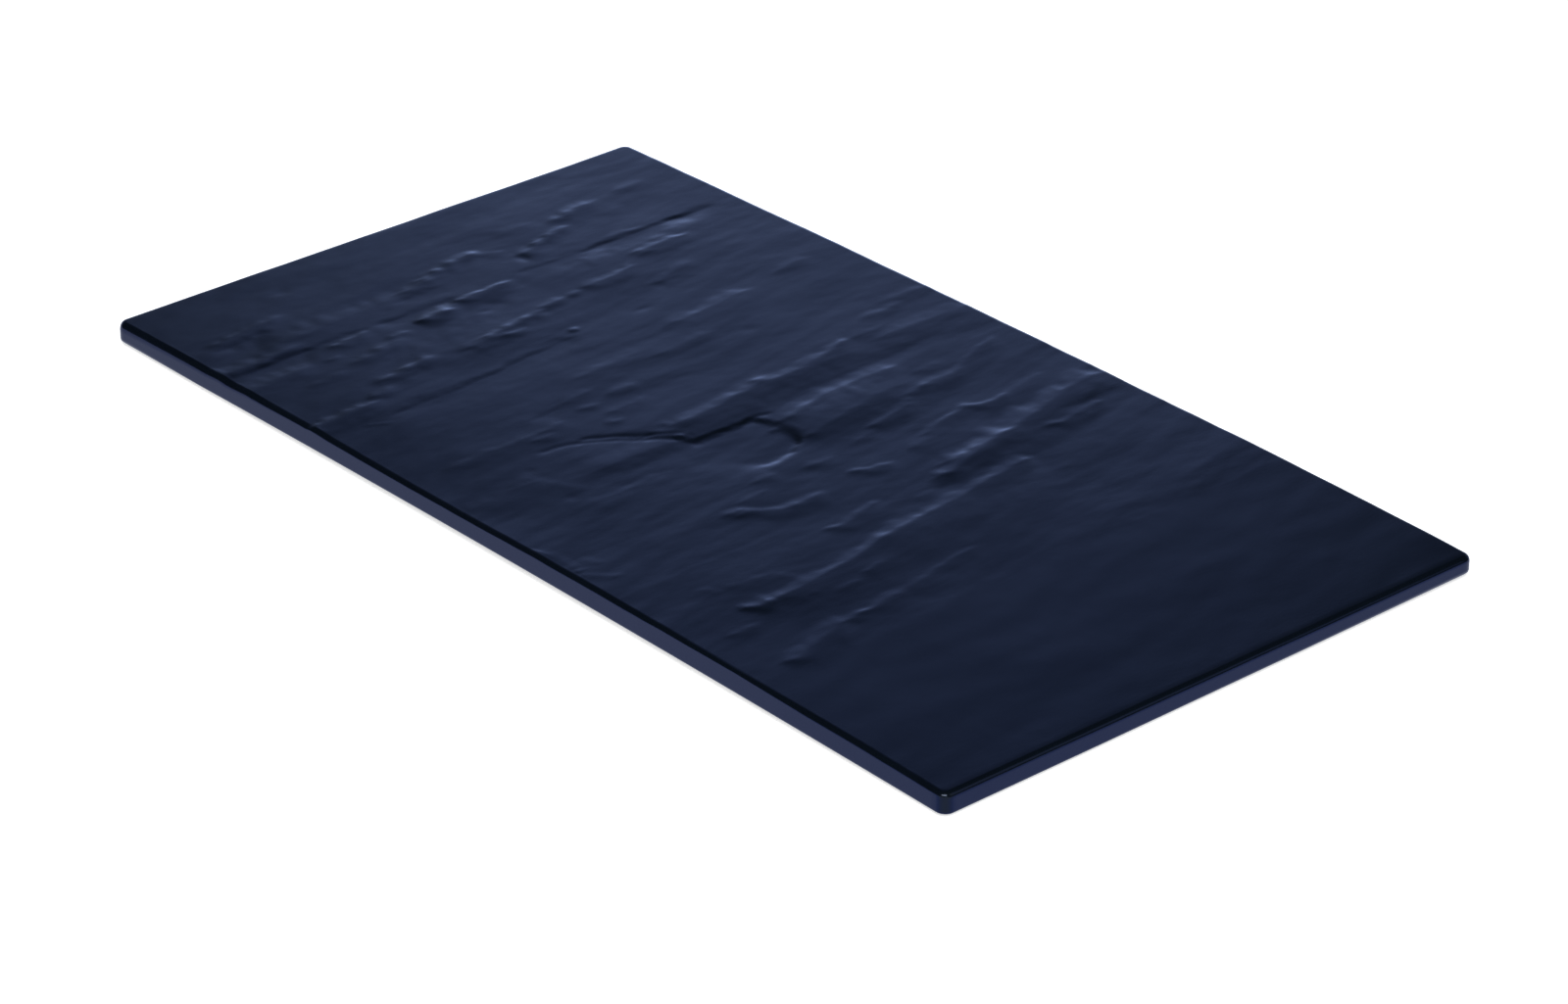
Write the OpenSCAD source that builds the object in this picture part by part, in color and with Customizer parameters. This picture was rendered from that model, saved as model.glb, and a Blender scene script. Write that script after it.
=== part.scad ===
// Serving platter moulded in melamine with a cleft slate face, standing on four bonded feet.
// Millimetres. X runs along the length, Y across the width, Z up from the table.

/* [Slab] */
// Length of the slab, a third-size catering tray
slab_length = 325; // [200:1:530]
// Width of the slab
slab_width = 176; // [120:1:330]
// Thickness of the slab
slab_thickness = 6; // [5:0.5:12]
// Radius of the corners, seen from above
corner_radius = 3; // [2:0.5:20]
// Radius of the rolled edge round the face
top_edge_radius = 1.7; // [0.8:0.1:2.4]
// Radius of the edge round the underside
bottom_edge_radius = 0.6; // [0.4:0.1:1.6]
// Rise of the slab's middle over its two ends, left by the moulding
camber = 1.5; // [0:0.1:3]

/* [Slate face] */
// Height of the tallest ledge on the face
ledge_height = 0.8; // [0.2:0.1:1.2]
// Distance between the face's grid lines along the length
face_pitch_x = 4; // [3:0.5:8]
// Distance between the face's grid lines across the width
face_pitch_y = 6; // [4:0.5:12]

/* [Feet] */
// Diameter of a foot
foot_diameter = 12; // [8:0.5:20]
// Distance from the slab's sides to a foot's centre
foot_inset = 22; // [14:1:40]
// Gap under the slab's ends when it stands on its feet
foot_stand = 1; // [0.6:0.1:4]
// Radius of the edge round a foot's sole
foot_edge_radius = 0.6; // [0.3:0.1:0.8]
// Depth of the moulded seat that holds a foot
seat_depth = 1.2; // [0.8:0.1:2]
// Gap between a foot and the wall of its seat
seat_clearance = 0.3; // [0.1:0.05:0.5]
// Thickness of the adhesive disc between a foot and its seat
adhesive_thickness = 0.2; // [0.1:0.05:0.4]
// Distance from the rim of a foot to the rim of its adhesive disc
adhesive_margin = 0.5; // [0.2:0.1:2]

/* [Hidden] */

melamine_colour = "#20263c";
silicone_colour = "#2b2b2e";
adhesive_colour = "#8d8a83";

// Steps of the rolled edge, of the lower edge and of each corner, from one tangent to the other
edge_steps = 3;
under_steps = 2;
corner_steps = 3;

// Smallest corner radius left inside a rounded edge, which has to fit in the corner that it goes round
least_corner = 0.2;
roll = min(top_edge_radius, corner_radius - least_corner);
under_roll = min(bottom_edge_radius, corner_radius - least_corner);

// Half sizes and corner radius of the flat part of the face, inside the rolled edge
face_x = slab_length / 2 - roll;
face_y = slab_width / 2 - roll;
face_r = corner_radius - roll;

// Places of the feet, as signs of X and Y
front_left = [-1, -1];
front_right = [1, -1];
rear_left = [-1, 1];
rear_right = [1, 1];
corners = [front_left, front_right, rear_left, rear_right];

// Height of the slab's underside over the table
function underside(x) = foot_stand + camber * (1 - pow(2 * x / slab_length, 2));

foot_x = slab_length / 2 - foot_inset;
foot_y = slab_width / 2 - foot_inset;
seat_floor = underside(foot_x) + seat_depth;
foot_height = seat_floor - adhesive_thickness;
function foot_place(corner) = [corner[0] * foot_x, corner[1] * foot_y, 0];

// Length and width of the slab that the ledges below are drawn on. On another slab they spread with it.
drawn_length = 325;
drawn_width = 176;

// Ledges of the cleft face, which run across the width. Each one is
// [points as [y, x], share of ledge_height, width of its left flank, width of its right flank].
// A negative share makes a groove.
ledges = [
    [[[-88, -115], [-36, -114], [10, -114], [88, -113]], -0.5, 3, 5],
    [[[22, -124], [34, -129], [51, -137]], 0.4, 5, 4],
    [[[-23, -124], [-12, -128], [7, -133]], 0.4, 5, 4],
    [[[-28, -107], [-16, -110], [3, -112]], 0.7, 4, 5],
    [[[-31, -85], [-12, -90], [7, -95], [34, -99], [62, -105]], 0.6, 6, 4],
    [[[-88, -76], [-72, -78], [-56, -86], [-42, -89]], 0.6, 5, 4],
    [[[-70, -69], [-36, -71], [-4, -74]], -0.4, 3, 5],
    [[[22, -64], [49, -65]], 0.3, 5, 5],
    [[[-20, -16], [0, -20], [14, -22], [36, -22], [44, -24], [88, -25]], 0.6, 5, 7],
    [[[5, -3], [20, -4], [42, -7], [88, -8]], 0.8, 6, 14],
    [[[18, 18], [34, 12], [48, 8], [61, 5], [77, 0]], 0.4, 4, 5],
    [[[1, 33], [7, 35], [22, 31], [46, 24], [71, 23]], 0.4, 4, 5],
    [[[4, 53], [18, 48], [40, 41], [62, 35], [88, 30]], 0.9, 7, 6],
    [[[-38, 30], [-26, 36], [-14, 37]], 0.4, 5, 4],
    [[[-24, 52], [-8, 48]], 0.4, 5, 4],
    [[[-66, 68], [-52, 69], [-20, 63], [8, 60], [34, 56]], 0.9, 6, 6],
    [[[-76, 93], [-52, 87], [-30, 84], [-6, 81]], 0.6, 6, 6]
];

// Length over which a ledge dies out at its two ends
ledge_fade = 8;

// Sunken patch where a flake has come away: its centre, its half sizes and its share of ledge_height
flake_centre = [7, -16];
flake_half = [13, 22];
flake_share = -0.9;
// How fast the patch sinks from its rim to its floor
flake_steepness = 1.5;

// Rises from 0 to 1 with no corner at either end
function smooth(t) = let (c = max(0, min(1, t))) c * c * (3 - 2 * c);

function ledge_rise(ledge, x, y) =
    let (
        points = ledge[0],
        off = x - lookup(y, points),
        flank = off < 0 ? ledge[2] : ledge[3],
        ends = smooth((y - points[0][0]) / ledge_fade + 1)
            * smooth((points[len(points) - 1][0] - y) / ledge_fade + 1)
    )
    ledge[1] * ends * exp(-abs(off) / flank);

function flake_rise(x, y) =
    let (
        across = (x - flake_centre[0]) / flake_half[0],
        along = (y - flake_centre[1]) / flake_half[1]
    )
    flake_share * smooth(flake_steepness * (1 - sqrt(across * across + along * along)));

function sum(values) = [for (v = values) 1] * values;

// Rise of the slate face over its mean level, at a point of the drawn slab
function drawn_relief(x, y) =
    ledge_height * (sum([for (ledge = ledges) ledge_rise(ledge, x, y)]) + flake_rise(x, y));

function face_height(x, y) =
    underside(x) + slab_thickness
    + drawn_relief(x * drawn_length / slab_length, y * drawn_width / slab_width);

// Rows and columns of the face's grid. The rows at each end follow the corners' arcs.
arc_angles = [for (k = [0 : corner_steps]) 90 * k / corner_steps];
straight_y = face_y - face_r;
row_count = max(2, ceil(2 * straight_y / face_pitch_y));
row_angles = concat(
    arc_angles,
    [for (k = [1 : row_count - 1]) 90],
    [for (k = [corner_steps : -1 : 0]) arc_angles[k]]
);
row_y = concat(
    [for (a = arc_angles) -straight_y - face_r * cos(a)],
    [for (k = [1 : row_count - 1]) -straight_y + 2 * straight_y * k / row_count],
    [for (k = [corner_steps : -1 : 0]) straight_y + face_r * cos(arc_angles[k])]
);
rows = len(row_y);
columns = max(3, ceil(2 * face_x / face_pitch_x)) + 1;
function row_reach(j) = face_x - face_r + face_r * sin(row_angles[j]);
function grid_x(i, j) = row_reach(j) * (2 * i / (columns - 1) - 1);

// The grid's border, anticlockwise from the front left: [column, row] pairs
border = concat(
    [for (i = [0 : columns - 1]) [i, 0]],
    [for (j = [1 : rows - 1]) [columns - 1, j]],
    [for (i = [columns - 2 : -1 : 0]) [i, rows - 1]],
    [for (j = [rows - 2 : -1 : 1]) [0, j]]
);
border_count = len(border);

// Outward direction, seen from above, at a point of the border
function outward(cell) =
    let (
        i = cell[0],
        j = cell[1],
        at_end = i == 0 || i == columns - 1,
        side_x = i == 0 ? -1 : 1,
        side_y = row_y[j] < 0 ? -1 : 1
    )
    at_end ? [side_x * sin(row_angles[j]), side_y * cos(row_angles[j])] : [0, side_y];

// A point of the border moved outwards, seen from above
function border_point(cell, reach) =
    [grid_x(cell[0], cell[1]), row_y[cell[1]]] + reach * outward(cell);

// Rings of the rolled edge: [reach past the face's border, drop below the face]
upper_rings = [
    for (k = [1 : edge_steps])
        let (a = 90 * k / edge_steps)
            [roll * sin(a), roll * (1 - cos(a))]
];
// Rings of the lower edge: [reach past the face's border, rise over the underside]
lower_rings = [
    for (k = [0 : under_steps])
        let (a = 90 * k / under_steps)
            [roll - under_roll * (1 - cos(a)), under_roll * (1 - sin(a))]
];

function upper_point(cell, ring) =
    let (p = border_point(cell, ring[0]), at = border_point(cell, 0))
    [p[0], p[1], face_height(at[0], at[1]) - ring[1]];
function lower_point(cell, ring) =
    let (p = border_point(cell, ring[0]))
    [p[0], p[1], underside(p[0]) + ring[1]];

// Triangles of a strip between two rings of points, which start at indices a and b
function strip(a, b) = [
    for (k = [0 : border_count - 1])
        let (n = (k + 1) % border_count)
            each [[a + k, b + n, b + k], [a + k, a + n, b + n]]
];

module slab_solid() {
    face_points = [
        for (j = [0 : rows - 1], i = [0 : columns - 1])
            let (x = grid_x(i, j), y = row_y[j]) [x, y, face_height(x, y)]
    ];
    upper_points = [for (ring = upper_rings, cell = border) upper_point(cell, ring)];
    lower_points = [for (ring = lower_rings, cell = border) lower_point(cell, ring)];
    face_border = [for (cell = border) face_points[cell[1] * columns + cell[0]]];
    first_ring = rows * columns;
    ring_count = len(upper_rings) + len(lower_rings);
    last_ring = first_ring + border_count * ring_count;
    face_triangles = [
        for (j = [0 : rows - 2], i = [0 : columns - 2])
            let (a = j * columns + i, b = a + 1, c = a + columns, d = c + 1)
                each [[a, c, b], [b, c, d]]
    ];
    wall_triangles = [
        for (k = [0 : ring_count - 1])
            let (ring = first_ring + k * border_count)
                each strip(ring, ring + border_count)
    ];
    // The underside is spanned from its front edge to its rear edge, column by column
    rear = 2 * columns + rows - 3;
    under_triangles = [
        for (i = [0 : columns - 2])
            each [
                [last_ring + i, last_ring + i + 1, last_ring + rear - i - 1],
                [last_ring + i, last_ring + rear - i - 1, last_ring + rear - i]
            ]
    ];
    left_triangles = [for (k = [rear : border_count - 2]) [last_ring, last_ring + k, last_ring + k + 1]];
    right_first = last_ring + columns - 1;
    right_triangles = [for (j = [1 : rows - 2]) [right_first, right_first + j, right_first + j + 1]];
    polyhedron(
        points = concat(face_points, face_border, upper_points, lower_points),
        faces = concat(face_triangles, wall_triangles, under_triangles, left_triangles, right_triangles)
    );
}

// Slab with the four seats for the feet
module platter_slab() {
    color(melamine_colour)
        difference() {
            slab_solid();
            for (corner = corners)
                translate(foot_place(corner))
                    cylinder(d = foot_diameter + 2 * seat_clearance, h = seat_floor, $fn = 96);
        }
}

// Foot with a flat sole and a rounded lower edge, its axis on Z
module foot(corner) {
    color(silicone_colour)
        translate(foot_place(corner))
            rotate_extrude($fn = 96)
                union() {
                    translate([0, foot_edge_radius])
                        square([foot_diameter / 2, foot_height - foot_edge_radius]);
                    square([foot_diameter / 2 - foot_edge_radius, foot_edge_radius]);
                    intersection() {
                        translate([foot_diameter / 2 - foot_edge_radius, foot_edge_radius])
                            circle(r = foot_edge_radius, $fn = 48);
                        translate([foot_diameter / 2 - foot_edge_radius, 0])
                            square(foot_edge_radius);
                    }
                }
}

// Disc of adhesive between a foot and the floor of its seat
module adhesive(corner) {
    color(adhesive_colour)
        translate(foot_place(corner) + [0, 0, foot_height])
            cylinder(d = foot_diameter - 2 * adhesive_margin, h = adhesive_thickness, $fn = 96);
}

platter_slab();
foot(front_left);  // foot_front_left
foot(front_right);  // foot_front_right
foot(rear_left);  // foot_rear_left
foot(rear_right);  // foot_rear_right
adhesive(front_left);  // adhesive_front_left
adhesive(front_right);  // adhesive_front_right
adhesive(rear_left);  // adhesive_rear_left
adhesive(rear_right);  // adhesive_rear_right
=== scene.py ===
import math

import bpy
import numpy as np
from mathutils import Matrix, Vector


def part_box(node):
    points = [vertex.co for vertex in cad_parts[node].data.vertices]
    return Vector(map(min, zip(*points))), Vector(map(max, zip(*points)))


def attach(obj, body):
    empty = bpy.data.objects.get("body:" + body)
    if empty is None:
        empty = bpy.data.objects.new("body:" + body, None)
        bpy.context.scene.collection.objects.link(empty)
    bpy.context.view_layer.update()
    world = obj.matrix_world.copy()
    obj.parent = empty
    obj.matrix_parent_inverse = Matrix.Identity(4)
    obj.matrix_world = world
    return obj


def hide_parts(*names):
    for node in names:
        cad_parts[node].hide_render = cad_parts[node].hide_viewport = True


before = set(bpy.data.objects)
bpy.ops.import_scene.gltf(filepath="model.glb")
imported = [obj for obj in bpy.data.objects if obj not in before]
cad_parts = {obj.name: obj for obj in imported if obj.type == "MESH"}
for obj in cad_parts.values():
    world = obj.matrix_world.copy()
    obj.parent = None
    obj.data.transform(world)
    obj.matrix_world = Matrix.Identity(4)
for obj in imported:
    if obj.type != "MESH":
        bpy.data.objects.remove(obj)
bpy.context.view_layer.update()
mm = 0.001
scene = bpy.context.scene
scene.view_settings.view_transform = "Standard"

feet = ["front_left", "front_right", "rear_left", "rear_right"]
slabLow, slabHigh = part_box("platter_slab")
halfLength = (slabHigh.x - slabLow.x) / 2 / mm
halfWidth = (slabHigh.y - slabLow.y) / 2 / mm
standHeight = slabLow.z / mm
print("frame: slab", round(2 * halfLength, 1), "by", round(2 * halfWidth, 1), "mm")


def hexColour(code):
    # sRGB hex to a linear colour with alpha
    channels = np.array([int(code[i:i + 2], 16) for i in (1, 3, 5)]) / 255
    linear = np.where(channels <= 0.04045, channels / 12.92, ((channels + 0.055) / 1.055) ** 2.4)
    return (*linear.tolist(), 1.0)


def addNode(tree, kind, settings=None, links=None):
    # settings go to the sockets of that name, or else to the node's own options
    node = tree.nodes.new(kind)
    for key, value in (settings or {}).items():
        if isinstance(key, int) or key in node.inputs:
            node.inputs[key].default_value = value
        else:
            setattr(node, key, value)
    for key, source in (links or {}).items():
        tree.links.new(source, node.inputs[key])
    return node


def newMaterial(name):
    material = bpy.data.materials.new(name)
    material.use_nodes = True
    material.node_tree.nodes.clear()
    return material, material.node_tree


# Camera, measured from the slab's corners and edges in the photograph
photoCamera = {
    "azimuth": 48.9,  # degrees round the slab, 0 looks along +Y
    "elevation": 27.8,
    "distance": 1364.6,  # mm from the aim point
    "aimRight": 4.42,  # mm that the aim point lies off the slab's centre
    "aimUp": -12.75,
    "focalPixels": 5456,
    "pictureWidth": 1600,
    "sensorWidth": 36.0,
}


def addCamera(settings):
    az = math.radians(settings["azimuth"])
    el = math.radians(settings["elevation"])
    back = Vector((math.sin(az) * math.cos(el), -math.cos(az) * math.cos(el), math.sin(el)))
    right = Vector((math.cos(az), math.sin(az), 0))
    up = back.cross(right)
    aim = Vector((0, 0, standHeight)) + right * settings["aimRight"] + up * settings["aimUp"]
    place = (aim + back * settings["distance"]) * mm
    data = bpy.data.cameras.new("photoCamera")
    data.sensor_fit = "HORIZONTAL"
    data.sensor_width = settings["sensorWidth"]
    data.lens = settings["focalPixels"] / settings["pictureWidth"] * settings["sensorWidth"]
    camera = bpy.data.objects.new("photoCamera", data)
    camera.matrix_world = Matrix((right, up, back)).transposed().to_4x4()
    camera.location = place
    scene.collection.objects.link(camera)
    scene.camera = camera


addCamera(photoCamera)
print("camera placed")


# Studio: a cool panel low behind the slab, a dimmer sky on the camera's side, a soft box over the camera
# and a weak fill on the right
studio = {
    # degrees up, brightness of the sky there
    "sky": [(0, 1.4), (10, 1.1), (16, 0.74), (20, 0.42), (23, 0.32),
            (25.5, 0.3), (28, 0.22), (32, 0.15), (40, 0.04), (90, 0.02)],
    "skyColour": "#b9d1ff",
    "panelHeading": 137.7,  # degrees anticlockwise from +X to the panel's middle
    # degrees off the panel's middle, strength of the sky there
    "panel": [(3.5, 1.95), (12, 0.46), (45, 0.4), (70, 0.04), (125, 0.04), (155, 0.3)],
    "softBoxPlace": (1.85, -1.65, 2.65),  # metres, as are the other places and sizes here
    "softBoxSize": 2.2,
    "softBoxPower": 160.0,  # watts
    "fillPlace": (2.3, 1.3, 2.0),
    "fillSize": 2.0,
    "fillPower": 7.0,
    "floorSize": 14.0,
    "floorColour": "#f2f2f1",
    "floorMirrored": "#c1c7d6",  # as the slab mirrors it, cool like the panel
    "floorLift": 0.7,  # added to what the camera and reflections see, up to white
}


def fillRamp(node, wanted):
    # wanted holds (place, colour) from left to right; a new ramp already has two stops
    stops = node.color_ramp.elements
    for place, colour in wanted[2:]:
        stops.new(place)
    for stop, (place, colour) in zip(stops, wanted):
        stop.position = place
        stop.color = (*colour, 1)


def addWorld(settings):
    # brightness by the height over the horizon, times a strength by the bearing from the panel's middle
    world = bpy.data.worlds.new("studioSky")
    world.use_nodes = True
    tree = world.node_tree
    tree.nodes.clear()
    coord = addNode(tree, "ShaderNodeTexCoord")
    axes = addNode(tree, "ShaderNodeSeparateXYZ", links={"Vector": coord.outputs["Generated"]})
    ramp = addNode(tree, "ShaderNodeValToRGB", links={"Fac": axes.outputs["Z"]})
    tint = np.array(hexColour(settings["skyColour"])[:3])
    fillRamp(ramp, [(math.sin(math.radians(up)), tint * level) for up, level in settings["sky"]])
    heading = math.radians(settings["panelHeading"])
    turned = addNode(tree, "ShaderNodeMapping", {"vector_type": "TEXTURE", "Rotation": (0, 0, heading)},
                     {"Vector": coord.outputs["Generated"]})
    sides = addNode(tree, "ShaderNodeSeparateXYZ", links={"Vector": turned.outputs["Vector"]})
    bearing = addNode(tree, "ShaderNodeMath", {"operation": "ARCTAN2"},
                      {0: sides.outputs["Y"], 1: sides.outputs["X"]})
    offset = addNode(tree, "ShaderNodeMath", {"operation": "ABSOLUTE"}, {0: bearing.outputs[0]})
    share = addNode(tree, "ShaderNodeMath", {"operation": "DIVIDE", 1: math.pi}, {0: offset.outputs[0]})
    strength = addNode(tree, "ShaderNodeValToRGB", links={"Fac": share.outputs[0]})
    strength.color_ramp.interpolation = "EASE"
    fillRamp(strength, [(degrees / 180, (level, level, level)) for degrees, level in settings["panel"]])
    background = addNode(tree, "ShaderNodeBackground",
                         links={"Color": ramp.outputs["Color"], "Strength": strength.outputs["Color"]})
    addNode(tree, "ShaderNodeOutputWorld", links={"Surface": background.outputs["Background"]})
    scene.world = world


def addSoftBox(name, settings):
    # square lamp that faces the slab
    data = bpy.data.lights.new(name, "AREA")
    data.shape = "SQUARE"
    data.size = settings[name + "Size"]
    data.energy = settings[name + "Power"]
    box = bpy.data.objects.new(name, data)
    box.location = settings[name + "Place"]
    box.rotation_euler = Vector(settings[name + "Place"]).to_track_quat("Z", "Y").to_euler()
    scene.collection.objects.link(box)


def addFloor(settings):
    # matt white paper that lifts to white where the camera or a reflection sees it
    material, tree = newMaterial("whitePaperFloor")
    path = addNode(tree, "ShaderNodeLightPath")
    shade = addNode(tree, "ShaderNodeMix", {"data_type": "RGBA", 6: hexColour(settings["floorColour"]),
                                            7: hexColour(settings["floorMirrored"])},
                    {0: path.outputs["Is Glossy Ray"]})
    paper = addNode(tree, "ShaderNodeBsdfDiffuse", links={"Color": shade.outputs[2]})
    seen = addNode(tree, "ShaderNodeMath", {"operation": "MAXIMUM"},
                   {0: path.outputs["Is Camera Ray"], 1: path.outputs["Is Glossy Ray"]})
    seen = addNode(tree, "ShaderNodeMath", {"operation": "MAXIMUM"},
                   {0: seen.outputs[0], 1: path.outputs["Is Transmission Ray"]})
    strength = addNode(tree, "ShaderNodeMath", {"operation": "MULTIPLY", 1: settings["floorLift"]},
                       {0: seen.outputs[0]})
    lift = addNode(tree, "ShaderNodeEmission",
                   links={"Color": shade.outputs[2], "Strength": strength.outputs[0]})
    both = addNode(tree, "ShaderNodeAddShader",
                   links={0: paper.outputs["BSDF"], 1: lift.outputs["Emission"]})
    addNode(tree, "ShaderNodeOutputMaterial", links={"Surface": both.outputs["Shader"]})
    half = settings["floorSize"] / 2
    corners = [(-half, -half, 0), (half, -half, 0), (half, half, 0), (-half, half, 0)]
    mesh = bpy.data.meshes.new("studioFloor")
    mesh.from_pydata(corners, [], [(0, 1, 2, 3)])
    mesh.materials.append(material)
    floor = bpy.data.objects.new("studioFloor", mesh)
    scene.collection.objects.link(floor)


addWorld(studio)
addSoftBox("softBox", studio)
addSoftBox("fill", studio)
addFloor(studio)
print("studio lit")


# Melamine: compression-moulded, one dark blue-grey colour all through, satin from the mould's etched face.
# The eye gets a navy body, a blue-tinted soft gloss and a faint mould grain.
melamineLook = {
    "bodyDark": "#070b11",
    "bodyLight": "#090f16",
    "mottle": 18.0,  # mm
    "glossFacing": "#9ba8c2",  # tint of the gloss where the surface faces the eye
    "glossSlanting": "#3f76ff",
    "glossTurn": (0.08, 0.33),  # how far it turns away, from 0 facing to 1 edge on, as the tint changes
    "ior": 1.48,
    "roughLow": 0.11,
    "roughHigh": 0.15,
    "grainX": 0.9,  # mm, fine grain along the length
    "grainY": 2.6,
    "grainDepth": 0.008,  # mm
}


def melamineMaterial(look):
    material, tree = newMaterial("satinMelamine")
    coord = addNode(tree, "ShaderNodeTexCoord")
    mottle = addNode(tree, "ShaderNodeTexNoise", {"Scale": 1 / (look["mottle"] * mm), "Detail": 3.0},
                     {"Vector": coord.outputs["Object"]})
    body = addNode(tree, "ShaderNodeMix", {"data_type": "RGBA", 6: hexColour(look["bodyDark"]),
                                           7: hexColour(look["bodyLight"])},
                   {0: mottle.outputs["Fac"]})
    rough = addNode(tree, "ShaderNodeMapRange", {"To Min": look["roughLow"], "To Max": look["roughHigh"]},
                    {"Value": mottle.outputs["Fac"]})
    grainSize = (look["grainX"], look["grainY"], look["grainX"])
    stretch = addNode(tree, "ShaderNodeMapping", {"Scale": [1 / (size * mm) for size in grainSize]},
                      {"Vector": coord.outputs["Object"]})
    grain = addNode(tree, "ShaderNodeTexNoise", {"Scale": 1.0, "Detail": 2.0},
                    {"Vector": stretch.outputs["Vector"]})
    bump = addNode(tree, "ShaderNodeBump", {"Distance": look["grainDepth"] * mm, "Strength": 1.0},
                   {"Height": grain.outputs["Fac"]})
    weight = addNode(tree, "ShaderNodeLayerWeight")
    turnStart, turnEnd = look["glossTurn"]
    turn = addNode(tree, "ShaderNodeMapRange",
                   {"interpolation_type": "SMOOTHSTEP", "From Min": turnStart, "From Max": turnEnd},
                   {"Value": weight.outputs["Facing"]})
    gloss = addNode(tree, "ShaderNodeMix", {"data_type": "RGBA", 6: hexColour(look["glossFacing"]),
                                            7: hexColour(look["glossSlanting"])},
                    {0: turn.outputs["Result"]})
    shader = addNode(tree, "ShaderNodeBsdfPrincipled", {"IOR": look["ior"]},
                     {"Base Color": body.outputs[2], "Roughness": rough.outputs["Result"],
                      "Specular Tint": gloss.outputs[2], "Normal": bump.outputs["Normal"]})
    addNode(tree, "ShaderNodeOutputMaterial", links={"Surface": shader.outputs["BSDF"]})
    return material


# Slab: its edges, its moulded bow and the fineness of its surface, in mm
slabShape = {
    "thickness": 6.0,
    "cornerRadius": 3.0,
    "topRoll": 1.7,
    # fall of the rolled edge along the front, as (x, fall), and along the right, as (y, fall)
    "frontDrop": [(-162, 2.7), (-140, 2.2), (-110, 1.7), (-85, 0.9),
                  (-20, 0.7), (50, 0.8), (90, 0.4), (115, 0.9)],
    "rightDrop": [(-88, 1.4), (88, 1.5)],
    # soft fall of the face to its right end, as (y, fall), and the strip it takes
    "rightFall": [(-88, 0.3), (0, 0.7), (88, 0.9)],
    "fallWidth": 80.0,
    # radius of the lower edge along the front, as (x, radius), and along the right, as (y, radius)
    "frontUnder": [(-162, 1.4), (-125, 0.6)],
    "rightUnder": [(-40, 0.6), (30, 1.0), (88, 1.6)],
    "underRoll": 0.6,
    "wallTrim": 0.15,  # strip that keeps the wall flat next to its rounded edges
    "camber": 1.5,  # rise of the middle over the two ends
    "seatGap": 0.3,  # gap round a foot in its seat
    "seatTile": 10.0,  # half size of the patch of underside that holds a seat
    "seatRings": 9,
    "seatRim": 1.2,  # strip of underside drawn round a seat
    "underMargin": 6.0,  # width of the strip round the underside
    "underSpacing": 12.0,
    "fineColumns": 440,
    "plainColumns": 36,
    "plainFrom": 100.0,  # past this the face is nearly smooth
    "rows": 149,
    "cornerSteps": 8,
    "rollSteps": 6,
    "underSteps": 3,
    "sharpAngle": 50.0,  # degrees between faces, past which an edge stays crisp
}

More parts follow.
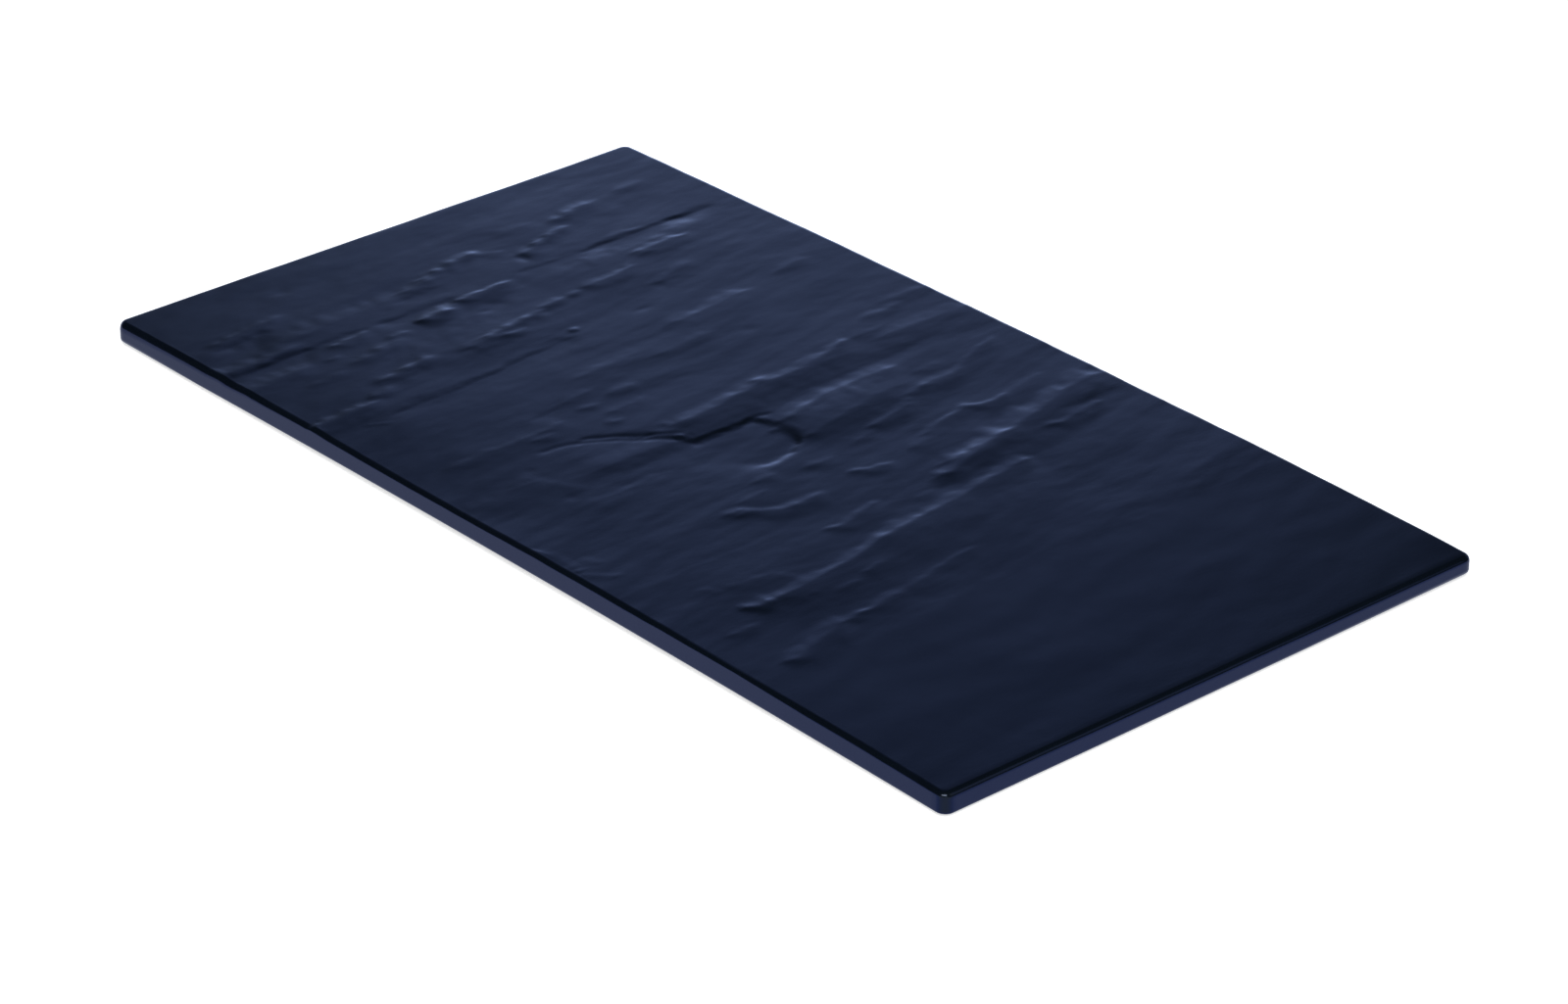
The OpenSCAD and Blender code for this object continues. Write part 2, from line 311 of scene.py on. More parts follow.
# Ledges of cleft slate that run across the width, in mm:
# height, width of the left flank, width of the right flank, fade at the front end, fade at the back end,
# crest as (y, x). A negative height makes a groove.
ledges = [
    # left quarter
    (-0.14, 3.2, 9, 6, 8, [(73, -112.6), (64, -112.6)]),
    (-0.13, 2.2, 9, 6, 6, [(67, -112.8), (36, -112.9)]),
    (-0.08, 2, 8, 4, 6, [(38, -113), (12, -113.5)]),
    (-0.13, 2.2, 9, 5, 6, [(-16, -112.7), (-36, -112.8)]),
    (-0.08, 2, 8, 6, 6, [(-46, -113.4), (-58, -113.2)]),
    (-0.16, 3, 9, 8, 6, [(-63, -112.6), (-90, -112.4)]),
    (0.07, 2, 5, 4, 4, [(51, -115.2), (44, -115.6)]),
    (0.05, 3, 6, 6, 6, [(76, -109.6), (60, -109)]),
    (0.08, 3, 6, 5, 6, [(70, -139), (66, -138.6)]),
    (0.07, 4, 6, 5, 5, [(56, -129.4), (53, -128.8)]),
    (0.17, 4, 9, 6, 7, [(51, -137), (46, -136.4)]),
    (0.18, 3.4, 8, 5, 4, [(44, -135.2), (40, -134.6)]),
    (0.17, 3, 9, 5, 4, [(37, -128.8), (33, -128.4)]),
    (0.18, 3, 9, 6, 4, [(31, -127), (27, -126.4)]),
    (0.18, 3.6, 9, 5, 4, [(25, -124.6), (19.5, -123.2)]),
    (0.07, 3.5, 8, 6, 6, [(29, -137), (23, -137)]),
    (0.07, 2.4, 6, 3, 3, [(14, -127.8), (11, -129.6), (8, -132)]),
    (0.20, 3.2, 9, 6, 3, [(8, -132.4), (2, -131.6)]),
    (0.20, 3.2, 9, 6, 3, [(0, -130.6), (-4, -130)]),
    (0.19, 3, 8, 6, 3, [(-6, -128.8), (-10, -128)]),
    (0.19, 3.2, 8, 7, 4, [(-12, -126.4), (-18, -125.2)]),
    (-0.07, 2.5, 7, 5, 6, [(-15, -121), (-24, -120.6)]),
    (0.14, 8, 12, 16, 14, [(-30, -123.4), (-56, -121.6)]),
    (0.22, 2.4, 9, 3, 5, [(2, -111.6), (-6, -111.2), (-13, -110.6)]),
    (0.17, 3, 9, 5, 3, [(-16, -109.2), (-20, -108.6)]),
    (0.31, 4, 11, 2.5, 4, [(-20, -107.6), (-28, -107.2)]),
    (-0.10, 3, 6, 4, 5, [(-6, -102), (-11, -101)]),
    (0.18, 2.8, 9, 6, 6, [(57, -103.4), (52, -103.2), (44, -103)]),
    (0.07, 2, 5, 3, 3, [(54, -106.6), (51, -106.6)]),
    (0.07, 1.5, 6, 4, 4, [(43, -101.6), (35, -98)]),
    (0.16, 2.6, 7, 4, 5, [(33, -96.4), (28, -95.6), (24, -95.2), (19, -95)]),
    (0.11, 2.6, 4, 3, 3, [(13.5, -93.6), (12, -93.4)]),
    (0.14, 2.8, 5, 4, 4, [(7, -93.4), (2, -93)]),
    (0.16, 2.2, 8, 5, 3, [(-1, -91.2), (-5, -90.8)]),
    (0.16, 2.2, 8, 5, 3, [(-7, -90), (-12, -89.4)]),
    (0.16, 2.4, 8, 6, 3, [(-14, -88.4), (-19, -87.8)]),
    (0.16, 2.6, 8, 6, 3, [(-21, -86.8), (-28, -85.8)]),
    (0.16, 12, 12, 14, 20, [(-22, -88.4), (-40, -87.4)]),
    (0.11, 1.8, 4, 3, 3, [(-12, -84.8), (-17, -85.8)]),
    (0.14, 3, 8, 6, 5, [(-42, -88), (-47, -87.4)]),
    (0.17, 2.8, 8, 6, 4, [(-49, -86.4), (-56, -85.4)]),
    (0.12, 2.4, 5, 3, 4, [(-60.5, -80.2), (-65, -79.6)]),
    (0.24, 3.2, 9, 6, 6, [(-69, -76.6), (-78, -76), (-90, -75.4)]),
    (0.14, 3.4, 9, 6, 5, [(-41, -101.8), (-45, -101.2)]),
    (0.14, 3.4, 9, 7, 4, [(-47, -99.8), (-53, -98.8)]),
    (0.10, 1.6, 4, 3, 3, [(-36, -105), (-39, -104.6)]),
    (0.17, 2, 6, 4, 4, [(-45, -111.8), (-50, -111), (-54, -110.6)]),
    (0.07, 1.6, 3, 2, 2, [(-58, -104.6), (-60.5, -104.4)]),
    (0.13, 3, 6, 6, 6, [(-57, -134.6), (-66, -133.8), (-76, -132)]),
    (-0.11, 3, 8, 5, 6, [(-66, -129.4), (-76, -128)]),
    (-0.11, 8, 8, 10, 8, [(-70, -124), (-86, -122.5)]),
    (0.18, 5, 5, 10, 8, [(-66, -117), (-76, -115.8), (-90, -114.8)]),
    (0.13, 4.5, 9, 9, 6, [(-70, -105), (-80, -104), (-90, -103.4)]),
    (0.06, 1.4, 4, 4, 4, [(-64, -96.6), (-72, -95.8)]),
    (0.10, 4, 8, 7, 6, [(46, -88.4), (36, -85)]),
    (-0.13, 3, 12, 10, 6, [(-8, -72.4), (-20, -71.6), (-31, -69.8), (-51, -68.4), (-62, -68)]),
    (0.10, 3, 8, 6, 6, [(71, -69.4), (66, -68.8)]),
    (0.16, 4, 12, 10, 10, [(44, -64), (34, -63), (24, -62)]),
    (0.10, 4, 9, 8, 8, [(20, -51), (8, -50.2)]),
    (0.08, 3, 9, 10, 10, [(2, -54.4), (-16, -53)]),
    # middle
    (0.07, 3, 8, 8, 6, [(85, -35), (76, -35)]),
    (0.10, 2.2, 5, 5, 4, [(72, -31.4), (63, -30.8)]),
    (0.11, 4.2, 10, 8, 14, [(90, -18.4), (70, -19), (60, -19.4)]),
    (0.06, 2.5, 6, 6, 6, [(60, -24.4), (52, -24)]),
    (0.22, 4, 10, 8, 4, [(46, -23.4), (42, -22.2), (36, -20.6), (28, -18.8), (20, -18.6),
                         (15, -20), (12, -19), (4, -17.8), (-4, -16.4), (-14, -15.8)]),
    (0.08, 1.5, 4, 2, 2, [(16, -21.4), (14, -21.8)]),
    (-0.10, 8, 6, 16, 10, [(54, -9.8), (50, -9.6), (26, -8.4), (14, -6.6), (6, -4.6)]),
    (0.19, 4.4, 40, 6, 6, [(44, -4), (36, -4), (26, -3.8), (17, -2.4), (8, 0)]),
    (0.28, 11, 14, 6, 24, [(30, 5.4), (26, 6.6), (14, 8.8), (6, 11)]),
    (0.08, 1.4, 8, 4, 3, [(77, 0.4), (71, 2.4), (65, 4.8), (60.5, 6.6)]),
    (0.06, 2, 6, 4, 4, [(56, 2.2), (51, 2.4)]),
    (0.14, 2.4, 8, 4, 4, [(58, 8.2), (52, 8.8), (46, 8.8)]),
    (0.07, 1.6, 6, 3, 4, [(45, 9.4), (40, 10.4)]),
    (0.06, 1.6, 5, 2, 2, [(37, 12.2), (34.5, 13.4)]),
    (0.12, 2, 8, 4, 4, [(34, 14.8), (28, 16), (21, 17.6)]),
    (0.07, 2.2, 6, 4, 4, [(17, 20.2), (13, 21)]),
    (0.07, 2.2, 8, 6, 5, [(71, 24.2), (64, 25.6), (60, 26.2)]),
    (0.14, 2.2, 9, 3, 3, [(57, 26.8), (50, 27.2), (45.5, 24.2)]),
    (0.11, 1.8, 8, 4, 4, [(43, 25), (36, 27), (28, 29.2)]),
    (0.08, 3, 7, 4, 4, [(25, 32.2), (21, 33)]),
    (0.12, 1.8, 9, 3, 3, [(9, 35.6), (4, 35), (0.5, 32.6)]),
    (0.10, 1.8, 6, 3, 3, [(-17.5, 21.2), (-21.5, 21)]),
    (0.07, 2.2, 6, 4, 4, [(-1, 24), (-6, 23.4)]),
    (0.08, 2, 7, 4, 4, [(-25, 26.6), (-31, 27.4)]),
    (0.12, 2, 9, 4, 3, [(-15, 36.8), (-22, 36.6)]),
    (0.14, 2.6, 9, 4, 4, [(-24, 37.2), (-27, 36.4), (-30.5, 34.2), (-34.5, 30.6), (-38, 30.2)]),
    (0.07, 1.4, 4, 2, 2, [(-34.5, 32.8), (-37, 32.4)]),
    (0.10, 2.4, 5, 4, 4, [(-12, -40.6), (-17, -40.6)]),
    (0.08, 2.6, 6, 4, 4, [(-24, -45.6), (-30, -44.4)]),
    (-0.07, 2, 6, 4, 4, [(-36, -42.6), (-41, -42)]),
    (0.07, 2, 5, 3, 3, [(-26, -37.6), (-29, -38.4)]),
    (0.07, 2, 5, 3, 3, [(-26.5, -26.8), (-28.5, -28)]),
    (0.07, 2.5, 6, 4, 4, [(-15, -33), (-24, -32.4)]),
    (0.08, 2.2, 5, 4, 4, [(-40, -35.8), (-44, -35.4)]),
    (0.07, 2, 5, 3, 3, [(-45.5, -32.4), (-49, -32.2)]),
    (0.07, 2, 6, 5, 6, [(-50, -35.4), (-73, -35.4)]),
    (0.13, 8, 6, 12, 8, [(-24, -9.4), (-44, -9.2)]),
    (0.08, 3, 12, 6, 6, [(-66, -15.4), (-82, -14.8)]),
    (0.07, 3, 8, 8, 8, [(-52, 3.4), (-62, 3.8)]),
    (0.07, 2, 7, 5, 5, [(-38, 2.6), (-46, 2.8)]),
    # right
    (0.35, 7, 16, 8, 10, [(79, 34), (72, 35.4), (59, 38.8), (47, 41.8), (39, 43.4), (29, 46), (18, 49.4)]),
    (0.14, 3, 9, 8, 8, [(42, 42.4), (32, 44), (24, 44.8)]),
    (0.12, 2.2, 7, 5, 4, [(72, 45.4), (65, 47), (60, 47.6), (56, 46.8)]),
    (-0.09, 4, 8, 8, 8, [(78, 42.6), (68, 43)]),
    (0.13, 1.9, 9, 3, 3, [(-8, 49), (-16, 51.2), (-21, 52.8), (-24, 52.2)]),
    (0.07, 1.6, 6, 3, 3, [(7, 53.8), (3, 54.2)]),
    (0.25, 3.6, 22, 8, 4, [(36, 56.8), (23, 58.4), (13, 60.4), (6, 61.2), (-7, 62.6), (-14, 63.6),
                           (-22.6, 64.8), (-26, 66.4), (-35, 67.6), (-43, 68.8), (-51, 69.6), (-57, 70)]),
    (0.07, 3, 10, 6, 6, [(-8, 62), (-18, 63.4)]),
    (0.24, 5, 9, 2.5, 3, [(-60.5, 71), (-63, 70.4), (-66, 68.6)]),
    (0.06, 2.5, 6, 5, 5, [(-55, 59.4), (-61, 59)]),
    (0.08, 1.6, 9, 5, 6, [(-7, 82.2), (-17, 83.6)]),
    (0.07, 1.8, 9, 6, 5, [(-22, 84.6), (-30, 86)]),
    (0.12, 2.4, 10, 5, 5, [(-35, 87.2), (-44, 88.4)]),
    (0.13, 3, 8, 3, 4, [(-47, 88.6), (-51, 89)]),
    (0.20, 5, 10, 4, 3, [(-54, 89.2), (-60, 91), (-68, 93.6), (-74, 94.6)]),
    (0.08, 1.8, 6, 3, 3, [(-71, 76), (-77, 76.4)]),
    (0.03, 2, 6, 8, 8, [(-45, 45.6), (-60, 45.2), (-82, 45.8)]),
    (0.02, 2, 6, 6, 6, [(-70, 59), (-80, 59)]),
    (0.06, 1.5, 5, 3, 3, [(-28, 73.6), (-32, 74)]),
    (0.06, 1.5, 5, 3, 3, [(-38, 76.4), (-43, 76.8)]),
]

# Lips that run along the length: height, width of the front flank, width of the back flank,
# fade at the left end, fade at the right end, crest as (x, y)
lips = [
    (0.05, 1.6, 6, 2, 2, [(-110, 28), (-107, 29.2), (-104.4, 28.6)]),
    (0.05, 2, 1.4, 1.5, 1.5, [(-67.5, -75.5), (-65.2, -71.5)]),
    (0.04, 8, 3, 3, 3, [(-18, -65), (-10, -60.5), (-5, -57.6)]),
    (0.055, 6, 1.5, 2, 2, [(13.5, -86.2), (18, -84.6), (25.5, -83.8)]),
    (0.055, 5, 1.4, 1.5, 1.5, [(31, -84.8), (33.5, -82.4), (36.2, -79.4)]),
    (0.045, 4, 1.3, 1.5, 1.5, [(24.8, -79.4), (28, -78)]),
    (0.05, 6, 3, 3, 2, [(60.5, -50.6), (64, -48.6), (67.5, -46.4)]),
    (0.045, 4, 2.2, 1.5, 1.5, [(55, -68.2), (58.6, -66.4)]),
]

# Patch where a flake has come away, in mm
flakePatch = {
    "depth": 0.34,
    # its left and right sides as (y, x), and the width of their slopes as (y, width)
    "left": [(8, -3.5), (4, -3.5), (-3, -4), (-12, -3.4), (-20, -3.8), (-21.5, -9), (-28.5, -14.4),
             (-35, -18.6), (-40.5, -22.6), (-46, -25.2), (-51.5, -26.6), (-60, -28)],
    "leftWidth": [(-27, 7), (-19, 3.2)],
    "right": [(2, 13.5), (-1, 15.4), (-5, 17.2), (-12, 18.6), (-15, 18.4), (-24, 22), (-60, 30)],
    "rightWidth": [(-30, 26), (-14, 3.4)],
    # top of its back slope as (x, y), and the y where that slope ends
    "back": [(-4, 1.4), (-2, 2.6), (1, 4.8), (6, 4.6), (10.5, 3), (13, 1), (18, -2)],
    "backFoot": 0.0,
    "frontFade": (-10, -48),  # y where it starts to run out and where it has
}

# Fissures: depth, half width and path as (x, y)
fissures = [
    (0.08, 0.7, [(-8.4, -20.6), (-11.6, -24.4), (-14.2, -28.2)]),
    (0.12, 0.7, [(-10.8, -19.4), (-14, -22.8), (-16, -26.8)]),
    (0.08, 0.7, [(-15.6, -29.6), (-20, -35.4), (-24, -42)]),
    (0.12, 0.7, [(-17.4, -28.6), (-21.6, -34), (-25, -40)]),
    (0.09, 1.0, [(-24.4, -42), (-25.4, -46), (-26.2, -52)]),
    (0.10, 0.8, [(-5.6, 4.6), (-6, 1), (-5, -2.5), (-6.2, -6), (-5, -9.5), (-5.8, -13), (-5.2, -19)]),
    (0.10, 0.8, [(-9, -18.6), (-4, -19.6)]),
]

# Dents and bumps: x, y, height, half size in x, half size in y
dents = [
    (-120.4, 17.0, -0.16, 2.3, 1.4),
    (-76.3, -1.2, 0.19, 1.2, 1.1),
    (-74.2, 20.6, -0.07, 1.3, 3.0),
    (-82.3, 33.4, -0.05, 1.8, 1.8),
    (-80.6, 43.0, -0.03, 1.2, 1.4),
    (-107.6, 36.6, -0.04, 1.8, 2.0),
    (-108.6, 22.5, -0.04, 2.0, 2.2),
    (-107.4, 6.5, -0.05, 1.8, 2.6),
    (-103.6, -8.2, -0.05, 1.4, 1.6),
    (-45.5, 33.5, -0.045, 2.0, 2.4),
    (-147.0, -45.0, -0.06, 1.8, 2.6),
    (-89.4, 0.0, -0.07, 1.6, 1.6),
    (-84.6, -29.5, -0.07, 1.2, 2.4),
    (53.4, 26.0, -0.07, 1.8, 4.5),
    (54.2, 12.0, -0.06, 1.8, 4.0),
    (26.2, -8.0, -0.07, 2.2, 3.5),
    (2.6, 0.2, 0.12, 1.1, 0.9),
    (-10.4, -20.8, 0.09, 0.9, 1.3),
    (-17.6, -18.8, 0.10, 1.3, 0.9),
    (28.4, -84.6, 0.07, 0.7, 1.3),
    (74.0, -48.8, 0.05, 0.9, 0.9),
    (3.0, -38.0, -0.05, 1.2, 2.0),
    (1.8, -47.0, -0.05, 1.1, 2.2),
    (-2.4, -61.8, -0.05, 1.6, 1.4),
    (-20.0, -61.0, -0.04, 1.6, 1.4),
    (18.0, -15.6, -0.06, 1.2, 0.9),
    (-28.0, -90.0, -0.6, 42.0, 24.0),
]

# Seeded noises that break up the face: height, spacing along the length and across the width in mm, seed
ripples = [
    (0.12, 40.0, 45.0, 31),
    (0.10, 22.0, 60.0, 32),
    (0.056, 9.0, 26.0, 33),
    (0.031, 4.8, 13.0, 34),
    (0.012, 2.4, 5.0, 35),
]
rippleDrift = [(3.0, 50.0, 40.0, 21)]  # mm that the ripples wind along the length
crestDrift = [(0.6, 10.0, 6.0, 11), (0.35, 5.0, 3.0, 12), (0.2, 2.4, 1.6, 14)]  # mm that the crests wind
flankShare = [(0.45, 20.0, 7.0, 13), (0.3, 7.0, 3.5, 15)]  # share by which the left flanks widen and narrow

# Ripples: their slant, and where along the length they get lower, over what run and to what share
ripplePlan = {"lean": 0.12, "plainFrom": 60.0, "plainRun": 50.0, "plainShare": 0.75}

# Ledges: how the run-out of their front end lengthens past the crest, the share of a flank's width that is
# left at the tips, and the power by which the ramp steepens
ledgeForm = {"spread": 1.5, "tipShare": 0.3, "steepening": 1.4}


def ease(t):
    # cubic from 0 to 1, level at both ends
    t = np.clip(t, 0, 1)
    return t * t * (3 - 2 * t)


def latticeNoise(x, y, cellX, cellY, seed):
    # gradient noise: a seeded slope at each lattice point, blended across the cells with a quintic
    size = 256  # lattice points before it repeats
    gain = 1.5  # brings the heights to about one either way
    angle = np.random.default_rng(seed).uniform(0, 2 * np.pi, (size, size))
    u = x / cellX + size / 2
    v = y / cellY + size / 2
    i = np.floor(u).astype(int)
    j = np.floor(v).astype(int)
    fu = u - i
    fv = v - j

    def corner(di, dj):
        a = angle[(j + dj) % size, (i + di) % size]
        return np.cos(a) * (fu - di) + np.sin(a) * (fv - dj)

    su = fu ** 3 * (fu * (6 * fu - 15) + 10)
    sv = fv ** 3 * (fv * (6 * fv - 15) + 10)
    low = corner(0, 0) * (1 - su) + corner(1, 0) * su
    high = corner(0, 1) * (1 - su) + corner(1, 1) * su
    return (low * (1 - sv) + high * sv) * gain


def noiseSum(x, y, table):
    # lattice noises of a table, each times its height
    return sum(height * latticeNoise(x, y, cellX, cellY, seed) for height, cellX, cellY, seed in table)


def ledgeRise(across, along, height, before, after, startFade, endFade, crest):
    # distance to the crest gives a steepening ramp up to it and an eased fall past it;
    # both ends run out to a point
    alongs, acrosses = np.array(sorted(crest), float).T
    off = across - np.interp(along, alongs, acrosses)
    past = np.maximum(off, 0)
    start = ease((along - alongs[0] + startFade) / (startFade + ledgeForm["spread"] * past))
    ends = start * ease((alongs[-1] + endFade - along) / (endFade + past))
    flank = before * (ledgeForm["tipShare"] + (1 - ledgeForm["tipShare"]) * ends)
    up = np.clip(1 + off / flank, 0, 1) ** ledgeForm["steepening"]
    return height * ends * np.where(off < 0, up, 1 - ease(off / after))


def flakeRise(x, y, patch):
    # product of four ramps, one for each side of the patch
    def side(points, at):
        places, values = np.array(sorted(points), float).T
        return np.interp(at, places, values)

    left = ease(1 + (x - side(patch["left"], y)) / side(patch["leftWidth"], y))
    right = ease((side(patch["right"], y) - x) / side(patch["rightWidth"], y))
    upper = side(patch["back"], x)
    back = ease((upper - y) / np.maximum(upper - patch["backFoot"], 1))
    near, far = patch["frontFade"]
    front = ease((y - far) / (near - far))
    return -patch["depth"] * left * right * back * front


def lineDistance(x, y, path):
    # least distance to the straight pieces of a path
    nearest = np.full(x.shape, np.inf)
    for (ax, ay), (bx, by) in zip(path[:-1], path[1:]):
        dx, dy = bx - ax, by - ay
        t = np.clip(((x - ax) * dx + (y - ay) * dy) / (dx * dx + dy * dy), 0, 1)
        nearest = np.minimum(nearest, np.hypot(x - ax - t * dx, y - ay - t * dy))
    return nearest


def faceRelief(x, y):
    # sum of the ledges, lips, flake patch, fissures, dents and ripples at plan points in mm
    wander = noiseSum(x, y, crestDrift)
    breadth = 1 + noiseSum(x, y, flankShare)
    rise = np.zeros_like(x)
    for height, left, right, front, back, crest in ledges:
        rise += ledgeRise(x + wander, y, height, left * breadth, right, front, back, crest)
    for height, front, back, left, right, crest in lips:
        rise += ledgeRise(y + wander, x, height, front, back, left, right, crest)
    rise += flakeRise(x + wander, y + wander, flakePatch)
    for depth, halfBreadth, path in fissures:
        rise -= depth * np.exp(-(lineDistance(x + wander, y, path) / halfBreadth) ** 2)
    for cx, cy, height, halfX, halfY in dents:
        rise += height * np.exp(-((x - cx) / halfX) ** 2 - ((y - cy) / halfY) ** 2)
    leaning = x + ripplePlan["lean"] * y + noiseSum(x, y, rippleDrift)
    plain = ease((x - ripplePlan["plainFrom"]) / ripplePlan["plainRun"])
    share = 1 - (1 - ripplePlan["plainShare"]) * plain
    return rise + share * noiseSum(leaning, y, ripples)


def underside(x):
    # parabola that rises by the camber from the slab's ends to its middle
    return standHeight + slabShape["camber"] * (1 - (x / halfLength) ** 2)


def quadGrid(rows, columns):
    # corners of each cell of a grid, anticlockwise seen from above
    cell = np.arange(rows * columns).reshape(rows, columns)
    return np.stack([cell[:-1, :-1], cell[:-1, 1:], cell[1:, 1:], cell[1:, :-1]], -1).reshape(-1, 4)


def gridBorder(rows, columns):
    # indices round a grid, anticlockwise from its front left corner
    cell = np.arange(rows * columns).reshape(rows, columns)
    return np.concatenate([cell[0, :-1], cell[:-1, -1], cell[-1, :0:-1], cell[:0:-1, 0]])


def gridCorners(rows, columns):
    # where the four corners of a grid come in its border
    return [0, columns - 1, columns + rows - 2, 2 * columns + rows - 3]


def borderTravel(points, corners):
    # how far round the border each point lies, counted as side number plus share of that side
    step = np.hypot(*(np.roll(points, -1, 0) - points)[:, :2].T)
    travel = np.zeros(len(points))
    for side, (first, last) in enumerate(zip(corners, [*corners[1:], len(points)])):
        run = np.concatenate([[0], np.cumsum(step[first:last])])
        travel[first:last] = side + run[:-1] / run[-1]
    return travel


def zipLoops(outer, outerTravel, inner, innerTravel):
    # triangles, facing down, between two closed loops that need not have as many points
    count = len(outer)
    sides = 4  # the travel back at the first point
    order = np.argsort(np.concatenate([outerTravel[1:], [sides], innerTravel[1:], [sides]]), kind="stable")
    onOuter = order < count
    outerDone = np.cumsum(onOuter) - onOuter
    innerDone = np.cumsum(~onOuter) - ~onOuter
    a, aNext = outer[outerDone % count], outer[(outerDone + 1) % count]
    b, bNext = inner[innerDone % len(inner)], inner[(innerDone + 1) % len(inner)]
    return np.where(onOuter[:, None], np.stack([aNext, a, b], -1), np.stack([b, bNext, a], -1))


def slabFace():
    # grid on the flat of the face, whose end rows follow the corners' arcs; also its outward directions
    roll = slabShape["topRoll"]
    arc = np.radians(np.linspace(0, 90, slabShape["cornerSteps"] + 1))
    radius = slabShape["cornerRadius"] - roll
    straight = halfWidth - roll - radius
    middle = np.linspace(-straight, straight, slabShape["rows"])[1:-1]
    rowAngle = np.concatenate([arc, np.full(len(middle), np.pi / 2), arc[::-1]])
    rowY = np.concatenate([-straight - radius * np.cos(arc), middle, straight + radius * np.cos(arc[::-1])])
    reach = halfLength - roll - radius + radius * np.sin(rowAngle)
    plainFrom = slabShape["plainFrom"] / halfLength
    share = np.concatenate([np.linspace(-1, plainFrom, slabShape["fineColumns"])[:-1],
                            np.linspace(plainFrom, 1, slabShape["plainColumns"])])
    x = reach[:, None] * share
    y = np.broadcast_to(rowY[:, None], x.shape)
    outX = np.zeros_like(x)
    outY = np.zeros_like(x)
    outY[0], outY[-1] = -1, 1
    for column, sign in ((0, -1), (-1, 1)):
        outX[:, column] = sign * np.sin(rowAngle)
        outY[:, column] = np.sign(rowY) * np.cos(rowAngle)
    return x, y, outX, outY


def seatAxis(limit, centre):
    # stations along one axis of the underside, with even ones across the patches that hold the seats
    tile = slabShape["seatTile"]
    rings = slabShape["seatRings"]
    patch = np.linspace(-tile, tile, 2 * rings + 1)
    span = centre - tile
    steps = 2 * max(2, round(span / slabShape["underSpacing"]))
    between = np.linspace(-span, span, steps + 1)[1:-1]
    return np.concatenate([[-limit], patch - centre, between, patch + centre, [limit]])


def slabUnderside():
    # grid whose rings round each foot are drawn into circles, with the rings of the seat's floor raised
    footLow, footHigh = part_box("foot_front_left")
    footX, footY = [abs(footLow[k] + footHigh[k]) / 2 / mm for k in (0, 1)]
    seatRadius = (footHigh.x - footLow.x) / 2 / mm + slabShape["seatGap"]
    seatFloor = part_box("adhesive_front_left")[1].z / mm
    margin = slabShape["underMargin"]
    rings = slabShape["seatRings"]
    x, y = np.meshgrid(seatAxis(halfLength - margin, footX), seatAxis(halfWidth - margin, footY))
    fromX = (np.abs(x) - footX) / slabShape["seatTile"]
    fromY = (np.abs(y) - footY) / slabShape["seatTile"]
    ring = np.rint(np.maximum(np.abs(fromX), np.abs(fromY)) * rings)
    inPatch = ring < rings
    sideways = np.abs(fromX) >= np.abs(fromY)
    longer = np.where(sideways, fromX, fromY)
    shorter = np.where(sideways, fromY, fromX)
    turn = np.pi / 4 * shorter / np.where(longer == 0, 1, np.abs(longer))
    along, aside = np.cos(turn) * np.sign(longer), np.sin(turn)
    floorRings = rings - 3  # then come the mouth of the seat, its rim and the edge of the patch
    radius = np.select([ring <= floorRings, ring == rings - 2],
                       [seatRadius * ring / floorRings, seatRadius], seatRadius + slabShape["seatRim"])
    z = np.where(inPatch & (ring <= floorRings), seatFloor, underside(x))
    roundX = np.sign(x) * (footX + radius * np.where(sideways, along, aside))
    roundY = np.sign(y) * (footY + radius * np.where(sideways, aside, along))
    x = np.where(inPatch, roundX, x)
    y = np.where(inPatch, roundY, y)
    z = np.where(inPatch & (ring > floorRings), underside(x), z)
    return x, y, z


def endFall(x, y):
    # fall of the face to its right end: none at the strip's start, then with the square of the way into it
    at, fall = np.array(slabShape["rightFall"], float).T
    into = np.clip((x - halfLength) / slabShape["fallWidth"] + 1, 0, 1)
    return np.interp(y, at, fall) * into ** 2


def alongEdges(edge, out, frontTable, rightTable, elsewhere):
    # a size that varies along the front and the right, blended round the corners by the squares of the
    # outward direction
    front = np.clip(-out[:, 1], 0, 1) ** 2
    right = np.clip(out[:, 0], 0, 1) ** 2
    frontAt, frontSize = np.array(frontTable, float).T
    rightAt, rightSize = np.array(rightTable, float).T
    return (front * np.interp(edge[:, 0], frontAt, frontSize)
            + right * np.interp(edge[:, 1], rightAt, rightSize)
            + (1 - front - right) * elsewhere)


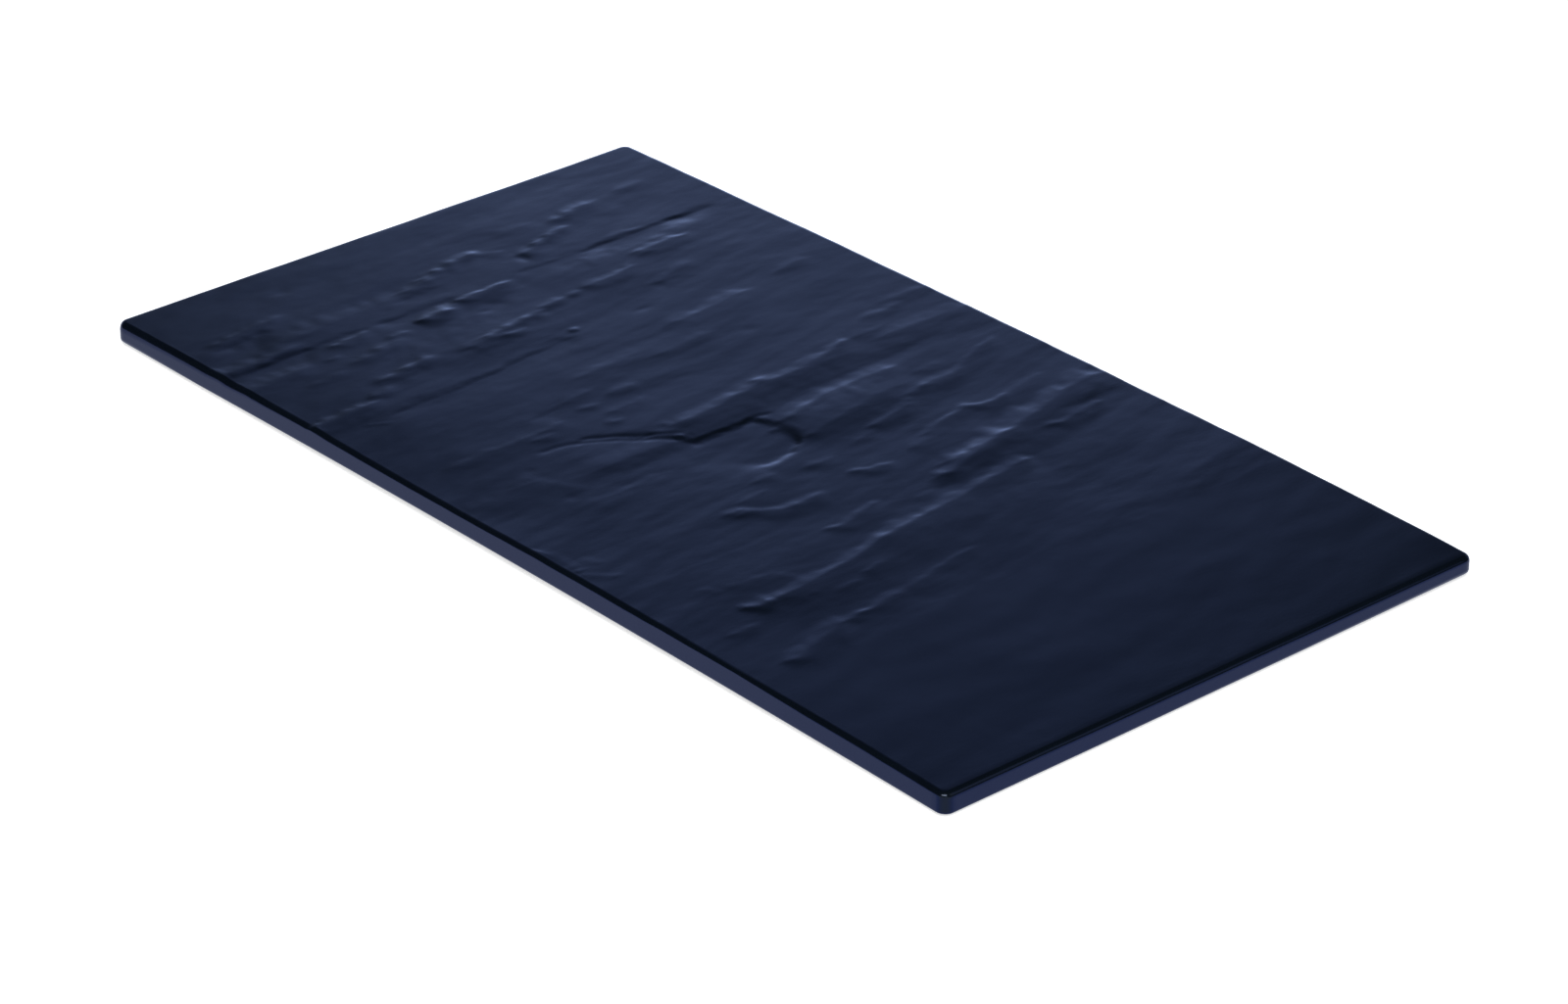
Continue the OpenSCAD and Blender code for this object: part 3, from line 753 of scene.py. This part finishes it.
def makeSlab(material):
    # face grid, rings down the rolled edge and the wall, and the underside, joined into one closed surface
    x, y, outX, outY = slabFace()
    rows, columns = x.shape
    z = underside(x) + slabShape["thickness"] + faceRelief(x, y) - endFall(x, y)
    points = [np.stack([x, y, z], -1).reshape(-1, 3)]
    quads = [quadGrid(rows, columns)]
    border = gridBorder(rows, columns)
    edge = points[0][border]
    out = np.stack([outX, outY], -1).reshape(-1, 2)[border]
    roll = slabShape["topRoll"]
    count = rows * columns
    ringBefore = border

    def addRing(reach, heights):
        nonlocal count, ringBefore
        plan = edge[:, :2] + np.reshape(reach, (-1, 1)) * out
        points.append(np.column_stack([plan, heights(plan[:, 0])]))
        ring = count + np.arange(len(border))
        quads.append(np.stack([ringBefore, ring, np.roll(ring, -1), np.roll(ringBefore, -1)], -1))
        count += len(border)
        ringBefore = ring

    fall = alongEdges(edge, out, slabShape["frontDrop"], slabShape["rightDrop"], roll)
    under = alongEdges(edge, out, slabShape["frontUnder"], slabShape["rightUnder"], slabShape["underRoll"])
    trim = slabShape["wallTrim"]
    for a in np.radians(np.linspace(0, 90, slabShape["rollSteps"] + 1))[1:]:
        drop = fall * (1 - math.cos(a))
        addRing(roll * math.sin(a), lambda at: edge[:, 2] - drop)
    addRing(roll, lambda at: edge[:, 2] - fall - trim)
    addRing(roll, lambda at: underside(at) + under + trim)
    for a in np.radians(np.linspace(0, 90, slabShape["underSteps"] + 1)):
        lift = under * (1 - math.sin(a))
        addRing(roll - under * (1 - math.cos(a)), lambda at: underside(at) + lift)

    ux, uy, uz = slabUnderside()
    points.append(np.stack([ux, uy, uz], -1).reshape(-1, 3))
    quads.append(count + quadGrid(*ux.shape)[:, ::-1])
    inner = count + gridBorder(*ux.shape)
    allPoints = np.concatenate(points)
    outerTravel = borderTravel(allPoints[ringBefore], gridCorners(rows, columns))
    innerTravel = borderTravel(allPoints[inner], gridCorners(*ux.shape))
    strip = zipLoops(ringBefore, outerTravel, inner, innerTravel)
    mesh = bpy.data.meshes.new("slateSlab")
    mesh.from_pydata((allPoints * mm).tolist(), [], np.concatenate(quads).tolist() + strip.tolist())
    mesh.polygons.foreach_set("use_smooth", np.ones(len(mesh.polygons), bool))
    mesh.set_sharp_from_angle(angle=math.radians(slabShape["sharpAngle"]))
    mesh.materials.append(material)
    slab = bpy.data.objects.new("slateSlab", mesh)
    scene.collection.objects.link(slab)
    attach(slab, "root")
    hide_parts("platter_slab")
    print("slab:", 2 * sum(map(len, quads)) + len(strip), "triangles")


makeSlab(melamineMaterial(melamineLook))


# Silicone rubber: cast, matt and near black, with a fine powdery skin that spreads highlights
siliconeLook = {
    "colour": "#1f1f21",
    "dusty": "#29292b",
    "roughness": 0.62,
    "ior": 1.41,
    "speckle": 0.6,  # mm
    "speckleDepth": 0.01,
}

# Acrylic adhesive: a grey foam disc, dull, with small open cells
adhesiveLook = {
    "colour": "#8d8a83",
    "dusty": "#7c7972",
    "roughness": 0.7,
    "ior": 1.48,
    "speckle": 0.4,
    "speckleDepth": 0.02,
}


def speckledMaterial(name, look):
    material, tree = newMaterial(name)
    coord = addNode(tree, "ShaderNodeTexCoord")
    speckle = addNode(tree, "ShaderNodeTexNoise", {"Scale": 1 / (look["speckle"] * mm), "Detail": 2.0},
                      {"Vector": coord.outputs["Object"]})
    body = addNode(tree, "ShaderNodeMix", {"data_type": "RGBA", 6: hexColour(look["colour"]),
                                           7: hexColour(look["dusty"])},
                   {0: speckle.outputs["Fac"]})
    bump = addNode(tree, "ShaderNodeBump", {"Distance": look["speckleDepth"] * mm, "Strength": 1.0},
                   {"Height": speckle.outputs["Fac"]})
    shader = addNode(tree, "ShaderNodeBsdfPrincipled", {"IOR": look["ior"], "Roughness": look["roughness"]},
                     {"Base Color": body.outputs[2], "Normal": bump.outputs["Normal"]})
    addNode(tree, "ShaderNodeOutputMaterial", links={"Surface": shader.outputs["BSDF"]})
    return material


def dressNodes(prefix, material):
    for foot in feet:
        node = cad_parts[prefix + foot]
        node.data.materials.clear()
        node.data.materials.append(material)


dressNodes("foot_", speckledMaterial("siliconeRubber", siliconeLook))
dressNodes("adhesive_", speckledMaterial("acrylicAdhesive", adhesiveLook))
print("feet dressed")
